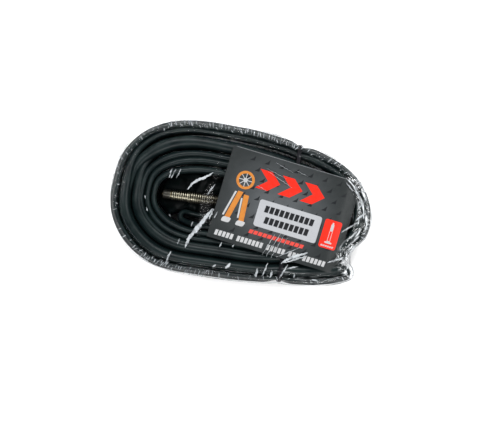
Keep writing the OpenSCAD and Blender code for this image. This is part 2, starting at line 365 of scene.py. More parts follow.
# Creases: real ridges in the film, whose pale colour is painted highlight
CREASE_PAINTED_GLINT = crease_material("film_crease_painted_glint", (0.29, 0.31, 0.325), (0.13, 0.14, 0.15), 0.92)
FINE_CREASE = crease_material("fine_film_crease", (0.30, 0.32, 0.34), (0.09, 0.095, 0.10), 0.85)
INK = {
    "dark": ink_material("dark_ink", (0.006, 0.007, 0.008), (0.012, 0.013, 0.014)),
    "red": ink_material("red_ink", (0.48, 0.012, 0.004), (0.34, 0.02, 0.012)),
    "dull_red": ink_material("dull_red_ink", (0.42, 0.04, 0.03), (0.25, 0.05, 0.04)),
    "orange": ink_material("orange_ink", (0.34, 0.125, 0.022), (0.22, 0.07, 0.02)),
    "white": ink_material("white_ink", (0.30, 0.30, 0.30), (0.20, 0.20, 0.21)),
    "dull_white": ink_material("dull_white_ink", (0.14, 0.145, 0.15), (0.05, 0.05, 0.055)),
}
STICKER = ink_material("white_sticker", (0.255, 0.26, 0.27), (0.225, 0.23, 0.24), 0.45)
LABEL = ink_material("red_sticker", (0.52, 0.015, 0.006), (0.45, 0.02, 0.01), 0.35)


# ---- The roll's outline: the same curves as the CAD model's ----

HOLLOW_MIDDLE = np.array([-10.0, -1.0])
LEFT, RIGHT, TOP, BOTTOM = (30.0, 6.0), (44.0, 11.0), (14.6, 7.5), (13.0, 6.1)   # size, and growth per turn
SQUARENESS = 0.8
TURNS = 3.4
HALF_SPACING = 1.5
LAYER = 2.6
FOLD_REACH, FOLD_HALF_WIDTH, FOLD_CORNER = 50.0, 7.0, 3.5
UPPER_JOIN, LOWER_JOIN, TIGHT_RADIUS = -0.25, 0.18, 2.1
POINTS_PER_TURN = 144


def squared(x):
    return np.sign(x) * np.abs(x) ** SQUARENESS


def strip_point(n):
    """Middle of the doubled strip, n turns on from the left end."""
    n = np.asarray(n, float)
    angle = np.radians(180 + 360 * n)
    c, s = np.cos(angle), np.sin(angle)
    across = np.where(c > 0, RIGHT[0] + RIGHT[1] * n, LEFT[0] + LEFT[1] * n)
    along = np.where(s > 0, TOP[0] + TOP[1] * n, BOTTOM[0] + BOTTOM[1] * n)
    return HOLLOW_MIDDLE + np.stack([across * squared(c), along * squared(s)], axis=-1)


def outward(n):
    return unit(right_of(strip_point(np.asarray(n) + 0.002) - strip_point(np.asarray(n) - 0.002)))


def strip_run(start, stop, distance):
    n = np.linspace(start, stop, max(2, round(abs(stop - start) * POINTS_PER_TURN)))
    return strip_point(n) + distance * outward(n)


def arc(middle, direction, sweep, steps=16):
    return np.array([middle + turned(direction, sweep * i / steps) for i in range(steps + 1)])


def blend_curve(a, a_pull, b, b_pull, steps=24):
    t = (np.arange(1, steps) / steps)[:, None]
    s = 1 - t
    return s**3 * a + 3 * s * s * t * (a + a_pull) + 3 * s * t * t * (b - b_pull) + t**3 * b


def ring_line():
    """The tube's middle line once round, with each point's turn number and half as columns 2 and 3.
    The half is 1 for the outer layer of the doubled strip and -1 for the inner one."""
    along = turned(np.array([1.0, 0.0]), VALVE_ANGLE)
    side = turned(along, 90)
    inset = VALVE_TIP + (FOLD_REACH - FOLD_CORNER) * along
    corner = (FOLD_HALF_WIDTH - FOLD_CORNER) * side
    upper_end = strip_point(UPPER_JOIN) + HALF_SPACING * outward(UPPER_JOIN)
    lower_out = outward(LOWER_JOIN)
    lower_end = strip_point(LOWER_JOIN) - HALF_SPACING * lower_out
    tight_middle = lower_end - TIGHT_RADIUS * lower_out
    fold_top, fold_bottom = inset + FOLD_HALF_WIDTH * side, inset - FOLD_HALF_WIDTH * side
    tight_end, tight_way = tight_middle - TIGHT_RADIUS * lower_out, -10 * right_of(lower_out)
    stretches = [
        (arc(inset - corner, -FOLD_CORNER * side, 90), 0, 0, 1),
        (arc(inset + corner, FOLD_CORNER * along, 90), 0, 0, 1),
        (blend_curve(fold_top, -8 * along, upper_end, np.array([-5.0, 0.0])), 0, 0, 1),
        (strip_run(UPPER_JOIN, TURNS, HALF_SPACING), UPPER_JOIN, TURNS, 1),
        (arc(strip_point(TURNS), HALF_SPACING * outward(TURNS), 180), TURNS, TURNS, 0),
        (strip_run(TURNS, LOWER_JOIN, -HALF_SPACING), TURNS, LOWER_JOIN, -1),
        (arc(tight_middle, TIGHT_RADIUS * lower_out, -180), 0, 0, -1),
        (blend_curve(tight_end, tight_way, fold_bottom, 10 * along), 0, 0, -1),
    ]
    rows = []
    for points, n_start, n_stop, half in stretches:
        n = np.linspace(n_start, n_stop, len(points))
        rows.append(np.column_stack([points, n, np.full(len(points), half)]))
    return np.concatenate(rows)


RING = resampled(ring_line(), 1.3)
TUBE_LOW, TUBE_HIGH = box_mm("tube")
EDGES = RING[:, :2] + LAYER / 2 * outward_of(RING)
SHIFT = (TUBE_LOW[:2] + TUBE_HIGH[:2]) / 2 - (EDGES.min(0) + EDGES.max(0)) / 2
RING[:, :2] += SHIFT

FILM_TOP = box_mm("film_wrap")[1][2]
CARD_LOW, CARD_HIGH = box_mm("card")
BAND_LOW, BAND_HIGH = box_mm("rubber_band")
BAND_X = (BAND_LOW[0] + BAND_HIGH[0]) / 2
CARD_Z = CARD_LOW[2]

lean_x, lean_y = Waves(45), Waves(45)


def slump(x, y):
    """How far the loose roll gives way in plan: out at both ends and at the front left, in at the front right
    and above the tail."""
    front = smooth_step(-8, -32, y)
    right = smooth_step(45, 60, x)
    along = 1.1 * smooth_step(25, 60, x) - 1.4 * smooth_step(-25, -60, x)
    along = along - right * (4.0 * np.exp(-((y + 12) / 6) ** 2) + 1.5 * np.exp(-((y + 22) / 5) ** 2))
    bulge = 2.0 * np.exp(-((x + 40) / 20) ** 2) - 1.5 * np.exp(-((x - 25) / 20) ** 2)
    return along, -front * bulge


def settle(points, height_share):
    """Moves places in plan a little, as the loose roll settles: more near the top, and in towards
    the rubber band where it squeezes the roll."""
    slump_x, slump_y = slump(points[:, 0], points[:, 1])
    x, y = points[:, 0] + slump_x, points[:, 1] + slump_y
    amount = 0.7 * height_share**2
    squeeze = 0.45 * np.exp(-((x - BAND_X) / 3.2) ** 2) * smooth_step(18, 34, np.abs(y))
    moved_y = y + amount * lean_y(x, y) - np.sign(y) * squeeze
    return np.stack([x + amount * lean_x(x, y), moved_y], axis=1)


# ---- Tube ----

BEAD_HEIGHT = 3.0
WALL_SHARES = (0.8, 0.55, 0.3)


def room_for_layer(n):
    """Room that each of a turn's two layers has, at n."""
    return np.abs(np.sum((strip_point(n + 1) - strip_point(n)) * outward(n), axis=-1)) / 2


def tube_beads():
    """For each point of the ring: how far its top drops, then how far its top and its bottom lean out and
    their beads' half widths, and whether it is the outer layer of the last turn. In the outer turns one
    layer of each pair lies over the other, so that the pair shows as one ridge."""
    n, half = RING[:, 2], RING[:, 3]
    angle = np.radians(180 + 360 * n)
    room = np.clip(room_for_layer(n), 2.9, 4.0)
    in_roll = np.abs(half)
    paired = smooth_step(1.2, 1.5, n) * in_roll
    backness = smooth_step(-0.2, 0.7, np.sin(angle))
    over = np.where(half > 0, backness, 1 - backness)
    last = smooth_step(2.35, 2.5, n) * (half > 0)
    low_room = np.clip(room_for_layer(n), 2.9, 5.6)
    low_lean = half * (low_room / 2 - HALF_SPACING)
    lean = half * (room / 2 - HALF_SPACING) - half * 0.45 * room * paired * over
    bead = np.where(in_roll > 0, (0.46 + 0.34 * paired * over) * room, LAYER / 2)
    drop = 0.3 + 0.5 * np.clip(0.5 + 0.6 * Waves(40)(RING[:, 0], RING[:, 1]), 0, 1)
    drop = drop + 3.4 * paired * (1 - over) * (1 - last) + 2.6 * last
    sunk = 2.5 * smooth_step(0.35, 0.15, n) * (half < 0) + 11.0 * (n < 0.1) * (half < 0)
    drop = drop + np.mean([np.roll(sunk, k) for k in range(-5, 6)], axis=0)
    bead = np.where(last > 0, np.minimum(bead, 1.4), bead)
    low_bead = np.where((in_roll > 0) & (last == 0), 0.49 * low_room, 0.48 * LAYER)
    return drop, lean * (1 - last), low_lean * (1 - last), bead, low_bead, last


def make_tube():
    """The flattened tube: a closed sweep whose edges are beads, fatter and lying over at the top."""
    normals = outward_of(RING)
    drop, lean, low_lean, bead, low_bead, last = tube_beads()
    thick = LAYER / 2 * 0.97 * (1 + 0.05 * Waves(14, 1)(np.arange(len(RING))))
    top, bottom = TUBE_HIGH[2] - drop, np.full(len(RING), TUBE_LOW[2])
    pinch = 1 - 0.8 * np.exp(-(((RING[:, 0] - BAND_X) / 4) ** 2))
    section = []                                        # across, height: each an array along the ring
    for degrees in np.linspace(0, 180, 11):
        a = math.radians(degrees)
        section.append((bead * math.cos(a), top - BEAD_HEIGHT * (1 - math.sin(a))))
    for share in WALL_SHARES:
        section.append((-0.9 * thick, bottom + share * (top - bottom)))
    for degrees in np.linspace(180, 360, 9):
        a = math.radians(degrees)
        section.append((low_bead * math.cos(a), bottom + 1.3 * (1 + math.sin(a))))
    for share in WALL_SHARES[::-1]:
        bulge = last * pinch * 1.5 * math.sin(math.pi * share) ** 0.5
        section.append((0.9 * thick + bulge, bottom + share * (top - bottom)))
    columns = []
    for across, z in section:
        share = np.clip((z - TUBE_LOW[2]) / (TUBE_HIGH[2] - TUBE_LOW[2]), 0, 1)
        out = across + lean * smooth_step(0.4, 1, share) + low_lean * smooth_step(0.25, 0.05, share)
        plan = RING[:, :2] + out[:, None] * normals
        columns.append(np.column_stack([settle(plan, share), z]))
    points = np.stack(columns, axis=1).reshape(-1, 3)
    faces = ring_faces(len(RING), len(section), close_ends=True)
    matte = [0 if 2 <= j % len(section) <= 7 else 1 for j in range(len(faces))]
    tube = make_mesh("rolled_tube", points, faces, [BUTYL, MATTE_BUTYL], face_material=matte)
    return place_piece(tube, ["tube"])


make_tube()


def make_hollow_fold():
    """The slack of the tube's inmost layer, lying across the hollow below the valve."""
    middle = np.array([-24.0, -0.8])
    angles = np.linspace(0, 2 * math.pi, 72, endpoint=False)
    rays = RING[:, :2] - middle
    lengths = np.linalg.norm(rays, axis=1)
    reach = []
    for angle in angles:
        direction = np.array([math.cos(angle), math.sin(angle)])
        ahead = (rays @ direction) / lengths > math.cos(math.radians(4))
        reach.append(lengths[ahead].min() - 1.0)
    reach = np.array(reach)
    reach = np.min([np.roll(reach, k) for k in (-1, 0, 1)], axis=0)
    reach = np.clip((np.roll(reach, 1) + reach + np.roll(reach, -1)) / 3, 2, 26)
    rumple = Waves(9)
    rings = []
    under = [(0.05, 1.6), (0.6, 1.6), (0.97, 2.0), (1, 4.5)]
    over = [(0.97, 7.5), (0.85, 8.6), (0.6, 8.2), (0.3, 7.4), (0.05, 7.0)]
    for share, z in under + over:
        x, y = middle[0] + reach * share * np.cos(angles), middle[1] + reach * share * np.sin(angles)
        height = z + (1.0 * rumple(x, y) if z > 4 else 0)
        rings.append(np.column_stack([x, y, height * np.ones(len(angles))]))
    around = len(angles)
    faces = ring_faces(len(rings), around)
    faces.append(tuple(range(around - 1, -1, -1)))
    faces.append(tuple(range((len(rings) - 1) * around, len(rings) * around)))
    fold = make_mesh("tube_slack_in_hollow", np.concatenate(rings), faces, [BUTYL])
    return place_piece(fold, ["tube"])


make_hollow_fold()


# ---- Rubber band ----

def make_band():
    """A flat rubber loop round the roll, with round corners and a slight slant."""
    corner, slant, squeeze, sink = 7.0, 1.6, 0.55, 0.8
    low, high = BAND_LOW[1:] + 0.4, BAND_HIGH[1:] - 0.4
    low[0] += squeeze + slump(BAND_X, low[0])[1]
    high -= (squeeze, sink)
    outline = []
    corners = ((high[0], high[1]), (low[0], high[1]), (low[0], low[1]), (high[0], low[1]))
    for (y, z), start in zip(corners, (0, 90, 180, 270)):
        middle = np.array([y - corner * np.sign(y), z - corner if z > 10 else z + corner])
        outline.append(arc(middle, corner * turned(np.array([1.0, 0.0]), start), 90, 6))
    loop = resampled(np.concatenate(outline), 1.0)
    normals = -outward_of(loop) if loop[0] @ outward_of(loop)[0] < 0 else outward_of(loop)
    wave = Waves(9, 1)(np.arange(len(loop)))
    points = []
    for (y, z), normal, w in zip(loop, normals, wave):
        x = BAND_X - slant * y / 70 + 0.15 * w
        for across, out in ((-1, -0.35), (1, -0.35), (1, 0.3), (0.6, 0.4), (-0.6, 0.4), (-1, 0.3)):
            place = np.array([y, z]) + out * normal
            points.append((x + across, place[0], place[1]))
    band = make_mesh("rubber_band_loop", points, ring_faces(len(loop), 6, close_ends=True), [BAND])
    return place_piece(band, ["rubber_band"])


make_band()


# ---- Card and its prints. Card places are from its middle, along its length and width. ----

CARD_ANGLE = -6.2
CARD_LENGTH, CARD_WIDTH, CARD_THICKNESS = 66.0, 47.0, 0.4
CARD_MIDDLE = (CARD_LOW[:2] + CARD_HIGH[:2]) / 2
CARD_BEND = 24.0


def card_height(x):
    """Height of the card's top face: it droops at its left edge and bends down at its right end."""
    right = 0.03 * np.maximum(x - CARD_BEND, 0) ** 2
    left = 0.004 * np.maximum(-22 - x, 0) ** 2
    return CARD_Z + CARD_THICKNESS - 0.3 - right - left


def on_card(places, lift):
    """Places on the card's flat outline, laid on its bent top face and lifted."""
    places = np.asarray(places, float)
    plan = CARD_MIDDLE + turned(places, CARD_ANGLE)
    return np.column_stack([plan, card_height(places[:, 0]) + lift])


def make_card():
    columns, rows = 67, 48
    half_length, half_width = CARD_LENGTH / 2, CARD_WIDTH / 2
    x, y = np.meshgrid(
        np.linspace(-half_length, half_length, columns), np.linspace(-half_width, half_width, rows)
    )
    flat = np.column_stack([x.ravel(), y.ravel()])
    points = np.concatenate([on_card(flat, 0), on_card(flat, -CARD_THICKNESS)])
    under = columns * rows
    faces = []
    for j in range(rows - 1):
        for i in range(columns - 1):
            a = j * columns + i
            faces.append((a, a + 1, a + 1 + columns, a + columns))
            faces.append((under + a, under + a + columns, under + a + 1 + columns, under + a + 1))
    edge = [i for i in range(columns)] + [(j + 1) * columns - 1 for j in range(1, rows)]
    edge += [(rows - 1) * columns + i for i in range(columns - 2, -1, -1)]
    edge += [j * columns for j in range(rows - 2, 0, -1)]
    for a, b in zip(edge, edge[1:] + edge[:1]):
        faces.append((a, under + a, under + b, b))
    size = np.array([CARD_LENGTH, CARD_WIDTH])
    uv = (np.concatenate([flat, flat]) + size / 2) / size
    card = make_mesh("printed_card", points, faces, [CARD], smooth=False, uv=uv)
    return place_piece(card, ["card"])


make_card()


def slab(outline, lift, thickness):
    """Points and faces of a thin flat shape on the card."""
    count = len(outline)
    points = np.concatenate([on_card(outline, lift), on_card(outline, lift + thickness)])
    faces = [tuple(range(count - 1, -1, -1)), tuple(range(count, 2 * count))]
    for i in range(count):
        j = (i + 1) % count
        faces.append((i, j, count + j, count + i))
    return points, faces


def bent_slab(outline, lift, thickness):
    """The same for a shape on the card's bent end, cut into strips that follow the bend."""
    low, high = outline[:, 0].min(), outline[:, 0].max()
    columns = np.clip(np.concatenate([outline[:, 0], np.arange(low, high, 0.5)]), low + 0.01, high - 0.01)
    rows = []
    for x in np.unique(columns.round(3)):
        crossings = []
        for a, b in zip(outline, np.roll(outline, -1, axis=0)):
            if (a[0] <= x) != (b[0] <= x):
                crossings.append(a[1] + (b[1] - a[1]) * (x - a[0]) / (b[0] - a[0]))
        edges = np.array([(x, min(crossings)), (x, max(crossings))])
        rows += [on_card(edges, lift), on_card(edges[::-1], lift + thickness)]
    points = np.concatenate(rows)
    count = len(points) // 4
    faces = ring_faces(count, 4) + [(3, 2, 1, 0), tuple(4 * (count - 1) + i for i in range(4))]
    return points, faces


def make_slabs(name, outlines, material, lift, thickness=0.02, replaces=()):
    points, faces = [], []
    for outline in outlines:
        outline = np.asarray(outline, float)
        shape_of = bent_slab if outline[:, 0].max() > CARD_BEND - 1 else slab
        more_points, more_faces = shape_of(outline, lift, thickness)
        start = sum(len(p) for p in points)
        points.append(more_points)
        faces += [tuple(start + v for v in face) for face in more_faces]
    shape = make_mesh(name, np.concatenate(points), faces, [material], smooth=False)
    return place_piece(shape, replaces)


def bar(x, y, width, height, slant=0.0, corner=0.0, turn=0.0):
    """Outline of an upright bar about its middle, leaning by slant over its height."""
    w, h, r = width / 2, height / 2, corner
    if r > 0:
        outline = []
        for sx, sy, start in ((1, 1, 0), (-1, 1, 90), (-1, -1, 180), (1, -1, 270)):
            middle = np.array([sx * (w - r), sy * (h - r)])
            outline.append(arc(middle, r * turned(np.array([1.0, 0.0]), start), 90, 5))
        outline = np.concatenate(outline)
    else:
        outline = np.array([(w, -h), (w, h), (-w, h), (-w, -h)])
    outline = outline + np.column_stack([slant * outline[:, 1] / height, np.zeros(len(outline))])
    return turned(outline, turn) + np.array([x, y])


def ring_pieces(x, y, outer, inner, pieces=24):
    """A flat ring as short joined pieces."""
    outlines = []
    for i in range(pieces):
        a = np.radians([360 * i / pieces, 360 * (i + 1) / pieces])
        corners = [(outer, a[0]), (outer, a[1]), (inner, a[1]), (inner, a[0])]
        outlines.append([(x + r * math.cos(t), y + r * math.sin(t)) for r, t in corners])
    return outlines


def chevron(x, y, width, height, thickness):
    half = height / 2
    return [
        (x, y + half), (x + thickness, y + half), (x + width, y), (x + thickness, y - half), (x, y - half),
        (x + width - thickness, y),
    ]


def block_row(x, y, count, width, gap, height, slant=0.3):
    """A row of plain blocks that fills the place of a printed line."""
    return [bar(x + i * (width + gap), y, width, height, slant) for i in range(count)]


SIZE_STICKER_MIDDLE, SIZE_STICKER_SIZE = (3.3, -5.0), (32.0, 13.6)
VALVE_STICKER_MIDDLE, VALVE_STICKER_SIZE = (25.3, -5.3), (8.6, 14.3)


def make_prints():
    marks = []
    for row in range(9):
        for column in range(8):
            x = -22 + column * 7.4 + (row % 2) * 3.7
            y = 20 - row * 4.6
            if x < 28:
                marks.append([(x - 1.3, y - 1.2), (x + 1.1, y - 1.0), (x + 1.2, y + 1.5), (x + 0.2, y + 0.1)])
    make_slabs("card_marks", marks, INK["dark"], 0.01)

    pale_edge = [bar(0, CARD_WIDTH / 2 - 0.14, CARD_LENGTH - 3, 0.2)]
    make_slabs("card_pale_edge", pale_edge, INK["dull_white"], 0.02)

    arrows = [chevron(x, 11.2, 11.5, 9.6, 6.2) for x in (-17, -5.5, 6)]
    make_slabs("card_red_arrows", arrows, INK["red"], 0.05)

    wheel = ring_pieces(-22.5, 8.5, 4.6, 3.3)
    stripes = [bar(-24.6, -4.5, 2.6, 14, 3.0), bar(-19.4, -5.0, 2.6, 13, -1.0)]
    make_slabs("card_orange_emblem", wheel + stripes, INK["orange"], 0.05)
    hub = ring_pieces(-22.5, 8.5, 1.1, 0.35, 12)
    spokes = [bar(-22.5, 8.5, 0.35, 6.6, turn=angle) for angle in (0, 45, 90, 135)]
    feet = [bar(-26.3, -12.8, 4.2, 2.6, 0.8, 0.9), bar(-19.0, -12.8, 4.2, 2.6, 0.8, 0.9)]
    flashes = [bar(-26.9, -4.5, 0.9, 13, 3.0), bar(-21.3, -5.5, 0.8, 10, -0.8)]
    make_slabs("card_white_emblem", hub + spokes + feet + flashes, INK["white"], 0.08)

    dashes = block_row(-12.6, -15.0, 12, 1.9, 0.45, 1.9, 0.5)
    make_slabs("card_red_dashes", dashes, INK["dull_red"], 0.05)

    words, x = [], -29.0
    for count in (5, 7, 5, 3, 6):
        words += block_row(x, -20.2, count, 1.45, 0.5, 2.7, 0.3)
        x += count * 1.95 + 1.6
    make_slabs("card_white_dashes", words, INK["white"], 0.05)


def make_stickers():
    cx, cy = SIZE_STICKER_MIDDLE
    outline = bar(cx, cy, *SIZE_STICKER_SIZE, corner=1.3)
    make_slabs("size_sticker_sheet", [outline], STICKER, 0.03, 0.12, ["size_sticker"])
    upper_row = block_row(cx - 11.5, cy + 2.7, 10, 2.0, 0.55, 3.4)
    lower_row = block_row(cx - 10.2, cy - 2.7, 9, 2.0, 0.55, 3.4)
    make_slabs("size_sticker_blocks", upper_row + lower_row, INK["dark"], 0.16)

    cx, cy = VALVE_STICKER_MIDDLE
    outline = bar(cx, cy, *VALVE_STICKER_SIZE, corner=1.1)
    make_slabs("valve_sticker_sheet", [outline], LABEL, 0.03, 0.12, ["valve_sticker"])
    drawing = [
        bar(cx, cy + 3.4, 1.5, 3.6, corner=0.5),
        bar(cx, cy + 5.4, 0.8, 1.2, corner=0.2),
        bar(cx - 0.65, cy - 1.2, 0.25, 5.6),
        bar(cx + 0.65, cy - 1.2, 0.25, 5.6),
        bar(cx, cy - 4.2, 3.6, 0.8, corner=0.3),
        bar(cx, cy - 3.6, 1.6, 0.6),
    ]
    make_slabs("valve_sticker_drawing", drawing, INK["white"], 0.16)
    dashes = block_row(cx - 2.8, cy - 6.0, 6, 0.8, 0.3, 0.8)
    make_slabs("valve_sticker_dashes", dashes, INK["white"], 0.16)


make_prints()
make_stickers()


# ---- Film ----

FILM_REACH = HALF_SPACING + LAYER / 2 + 1.8
FILM_START = TURNS - 0.95
SHOULDER = 3.2
SPINE_SHARE = 0.42
OUTLINE_STEP = 0.35


def film_outline():
    """The film's outline in plan, squeezed at the band and drawn in at the notch above the tail."""
    line = np.concatenate([
        strip_run(FILM_START, TURNS, FILM_REACH),
        arc(strip_point(TURNS), FILM_REACH * outward(TURNS), 120),
    ])
    line = resampled(line + SHIFT, OUTLINE_STEP)
    left = int(np.argmin(line[:, 0]))
    line = np.roll(line, -left, axis=0)
    return settle(line, 0.3)


OUTLINE = film_outline()
OUTLINE = OUTLINE if len(OUTLINE) % 2 == 0 else OUTLINE[:-1]
OUTLINE_OUT = outward_of(OUTLINE)
if (OUTLINE[0] @ OUTLINE_OUT[0]) < 0:
    OUTLINE_OUT = -OUTLINE_OUT

slow_wave, broad_wave, crumple_wave, fine_wave = Waves(30), Waves(16), Waves(6), Waves(3)


def near_line(x, y, route, width):
    """1 on a line through the places of a route, falling to 0 at the given distance from it."""
    place = np.stack(np.broadcast_arrays(x, y), axis=-1)
    nearest = np.full(place.shape[:-1], np.inf)
    for a, b in zip(route, route[1:]):
        a, b = np.array(a, float), np.array(b, float)
        t = np.clip(((place - a) @ (b - a)) / ((b - a) @ (b - a)), 0, 1)
        nearest = np.minimum(nearest, np.linalg.norm(place - a - t[..., None] * (b - a), axis=-1))
    return smooth_step(width, 0.2 * width, nearest)


def crumple_share(x, y):
    """How crumpled the film is at a place: along the right end, at the notch and on the tail."""
    end = 0.8 * near_line(x, y, [(52, 22), (59, 14), (61.5, 5), (59.5, -5), (54, -14)], 4.5)
    notch = near_line(x, y, [(54, -17), (55, -21), (58.5, -24)], 3.5)
    tail = 0.15 * near_line(x, y, [(28, -29), (40, -31), (54, -28)], 4)
    return np.clip(end + notch + tail, 0, 1)


def gather_share(x, y):
    """How thickly the film's shoulder is gathered, going round the roll."""
    angle = np.degrees(np.arctan2(y, x))
    back = smooth_step(45, 60, angle) * smooth_step(165, 130, angle)
    front = smooth_step(-155, -140, angle) * smooth_step(-95, -108, angle)
    end = 0.6 * smooth_step(-35, -15, angle) * smooth_step(55, 30, angle)
    return 0.35 + 0.65 * np.clip(back + front + end, 0, 1)


def film_height(x, y, inset):
    """Height of the film's top: low over the bare roll, lower over its last layer, dipping into the hollow,
    and up over the card. The inset is how far inside the outline a place is."""
    local = turned(np.stack([x, y], axis=-1) - CARD_MIDDLE, -CARD_ANGLE)
    beyond = np.maximum(np.abs(local) - np.array([CARD_LENGTH / 2, CARD_WIDTH / 2]), 0)
    away = np.hypot(beyond[..., 0], beyond[..., 1])
    bare = TUBE_HIGH[2] + 0.2
    sag = 1.0 * np.exp(-(((x + 27) / 10) ** 2 + ((y - 0) / 7) ** 2))
    over_card = CARD_Z + CARD_THICKNESS + 0.1
    height = bare + (over_card - bare) * smooth_step(9, 0, away) - sag * smooth_step(0, 6, away)
    rumple = 0.10 * broad_wave(x, y) + 0.08 * slow_wave(x, y)
    crumple = crumple_share(x, y)
    height = height - 1.8 * smooth_step(7, 3, inset) * smooth_step(0, 5, away)
    height = height + 0.1 + rumple * smooth_step(0, 4, away) - 0.35 * crumple
    height = height + crumple * (0.4 * crumple_wave(x, y) + 0.25 * fine_wave(x, y))
    height = height + 0.25 * np.exp(-((x - BAND_X) / 1.8) ** 2) * smooth_step(0, 3, away)
    return np.minimum(height, FILM_TOP - 0.05)


def make_film():
    """The film as a closed bag of rings, from the middle of its top over the shoulder and down underneath."""
    spine = np.column_stack([OUTLINE[:, 0] * SPINE_SHARE, np.zeros(len(OUTLINE))])
    inward = unit(spine - OUTLINE)
    depth = np.linalg.norm(spine - OUTLINE, axis=1)
    around = len(OUTLINE)
    along = np.arange(around) * OUTLINE_STEP
    gather = Waves(2.2, 1)(along) * gather_share(*OUTLINE.T)
    rings, gathered, crumpled = [], [], []

    def ring(inset, z, ruck, gathering):
        plan = OUTLINE + inward * np.reshape(inset, (-1, 1)) + OUTLINE_OUT * (ruck * gather)[:, None]
        rings.append(np.column_stack([plan, np.broadcast_to(z, around)]))
        gathered.append(gathering * gather_share(*OUTLINE.T))
        crumpled.append(crumple_share(plan[:, 0], plan[:, 1]))

    top_rows = 64
    for i in range(top_rows):
        inset = SHOULDER + (depth * 0.97 - SHOULDER) * (1 - i / (top_rows - 1)) ** 1.4
        plan = OUTLINE + inward * inset[:, None]
        near = smooth_step(7, 3, inset)
        ring(inset, film_height(plan[:, 0], plan[:, 1], inset) + 0.15 * near * gather, 0, near)
    edge = film_height(*(OUTLINE + inward * SHOULDER).T, SHOULDER)
    for degrees in (12, 24, 36, 48, 60, 72, 90):
        a = math.radians(degrees)
        ring(SHOULDER * (1 - math.sin(a)), edge - SHOULDER * (1 - math.cos(a)), 0.22, math.cos(a) ** 2)
    low = 1.6
    for share in np.linspace(0.1, 1, 12):
        ring(0.05 * math.sin(math.pi * share), (edge - SHOULDER) * (1 - share) + low * share, 0.14, 0)
    for degrees in (30, 60, 90):
        a = math.radians(degrees)
        ring(low * (1 - math.cos(a)), low * (1 - math.sin(a)), 0.08, 0)
    for share in np.linspace(0.15, 0.97, 8):
        ring(low + (depth * 0.97 - low) * share, 0.0, 0, 0)
    points = np.concatenate(rings)
    faces = ring_faces(len(rings), around) + end_faces(0, around, True)
    faces += end_faces((len(rings) - 1) * around, around, False)
    down = np.cumsum([0] + [np.linalg.norm(b - a, axis=1).mean() for a, b in zip(rings, rings[1:])])
    uv = np.stack([np.tile(along, len(rings)), np.repeat(down, around)], axis=1)
    values = {"gathered": np.concatenate(gathered), "crumpled": np.concatenate(crumpled)}
    film = make_mesh("shrink_film", points, faces, [FILM], uv=uv, values=values)
    place_piece(film, ["film_wrap"])
    return np.stack(rings)


def end_faces(start, around, flip):
    """Faces that close the narrow slot inside a ring, joining each point to the one across it."""
    faces = [(start, start + 1, start + around - 1)]
    for i in range(1, around // 2 - 1):
        faces.append((start + i, start + i + 1, start + around - i - 1, start + around - i))
    last = start + around // 2
    faces.append((last - 1, last, last + 1))
    return faces if flip else [face[::-1] for face in faces]


FILM_RINGS = make_film()


# ---- Creases in the film: tapered ridges, painted bright as highlights ----

def crease(points, normals, width, height=0.18):
    """Points and faces of one tapered ridge along a 3-D line."""
    points, normals = np.asarray(points), unit(np.asarray(normals))
    count = len(points)
    travel = unit(np.gradient(points, axis=0))
    side = unit(np.cross(travel, normals))
    taper = np.sin(np.pi * np.linspace(0.04, 0.96, count)) ** 0.7
    ragged = 1 + 0.35 * RANDOM.uniform(-1, 1, count)
    half = (width / 2 * taper * ragged)[:, None]
    rise = (height * taper)[:, None]
    left, right = points - side * half, points + side * half
    rows = np.stack([left, points + normals * rise, right, points - normals * 0.05], 1)
    faces = ring_faces(count, 4)
    faces.append((3, 2, 1, 0))
    faces.append(tuple(4 * (count - 1) + i for i in range(4)))
    return rows.reshape(-1, 3), faces


def make_creases(name, ridges, material):
    """One piece of many ridges."""
    points, faces, start = [], [], 0
    for ridge_points, ridge_faces in ridges:
        points.append(ridge_points)
        faces += [tuple(start + v for v in face) for face in ridge_faces]
        start += len(ridge_points)
    thing = make_mesh(name, np.concatenate(points), faces, [material], smooth=False)
    return place_piece(thing)


def on_film(line):
    """Places in plan, kept inside the film's outline, at the height of the film's top and shoulder."""
    away = line[:, None] - OUTLINE
    nearest = np.argmin(np.linalg.norm(away, axis=2), axis=1)
    out = OUTLINE_OUT[nearest]
    inset = -np.sum(away[np.arange(len(line)), nearest] * out, axis=1)
    line = line - out * np.maximum(0.3 - inset, 0)[:, None]
    past = np.clip(SHOULDER - inset, 0, SHOULDER - 0.3)
    height = film_height(line[:, 0], line[:, 1], inset) - SHOULDER + np.sqrt(SHOULDER**2 - past**2)
    return np.column_stack([line, height + 0.05])


def flat_crease(route, width):
    """A crease on the film's top along a route in plan."""
    line = resampled(np.array(route, float), 0.6, closed=False)
    wander = 0.12 * Waves(4, 1)(np.arange(len(line)))
    line = line + wander[:, None] * right_of(unit(np.gradient(line, axis=0)))
    return crease(on_film(line), np.tile([0.0, 0.0, 1.0], (len(line), 1)), width)


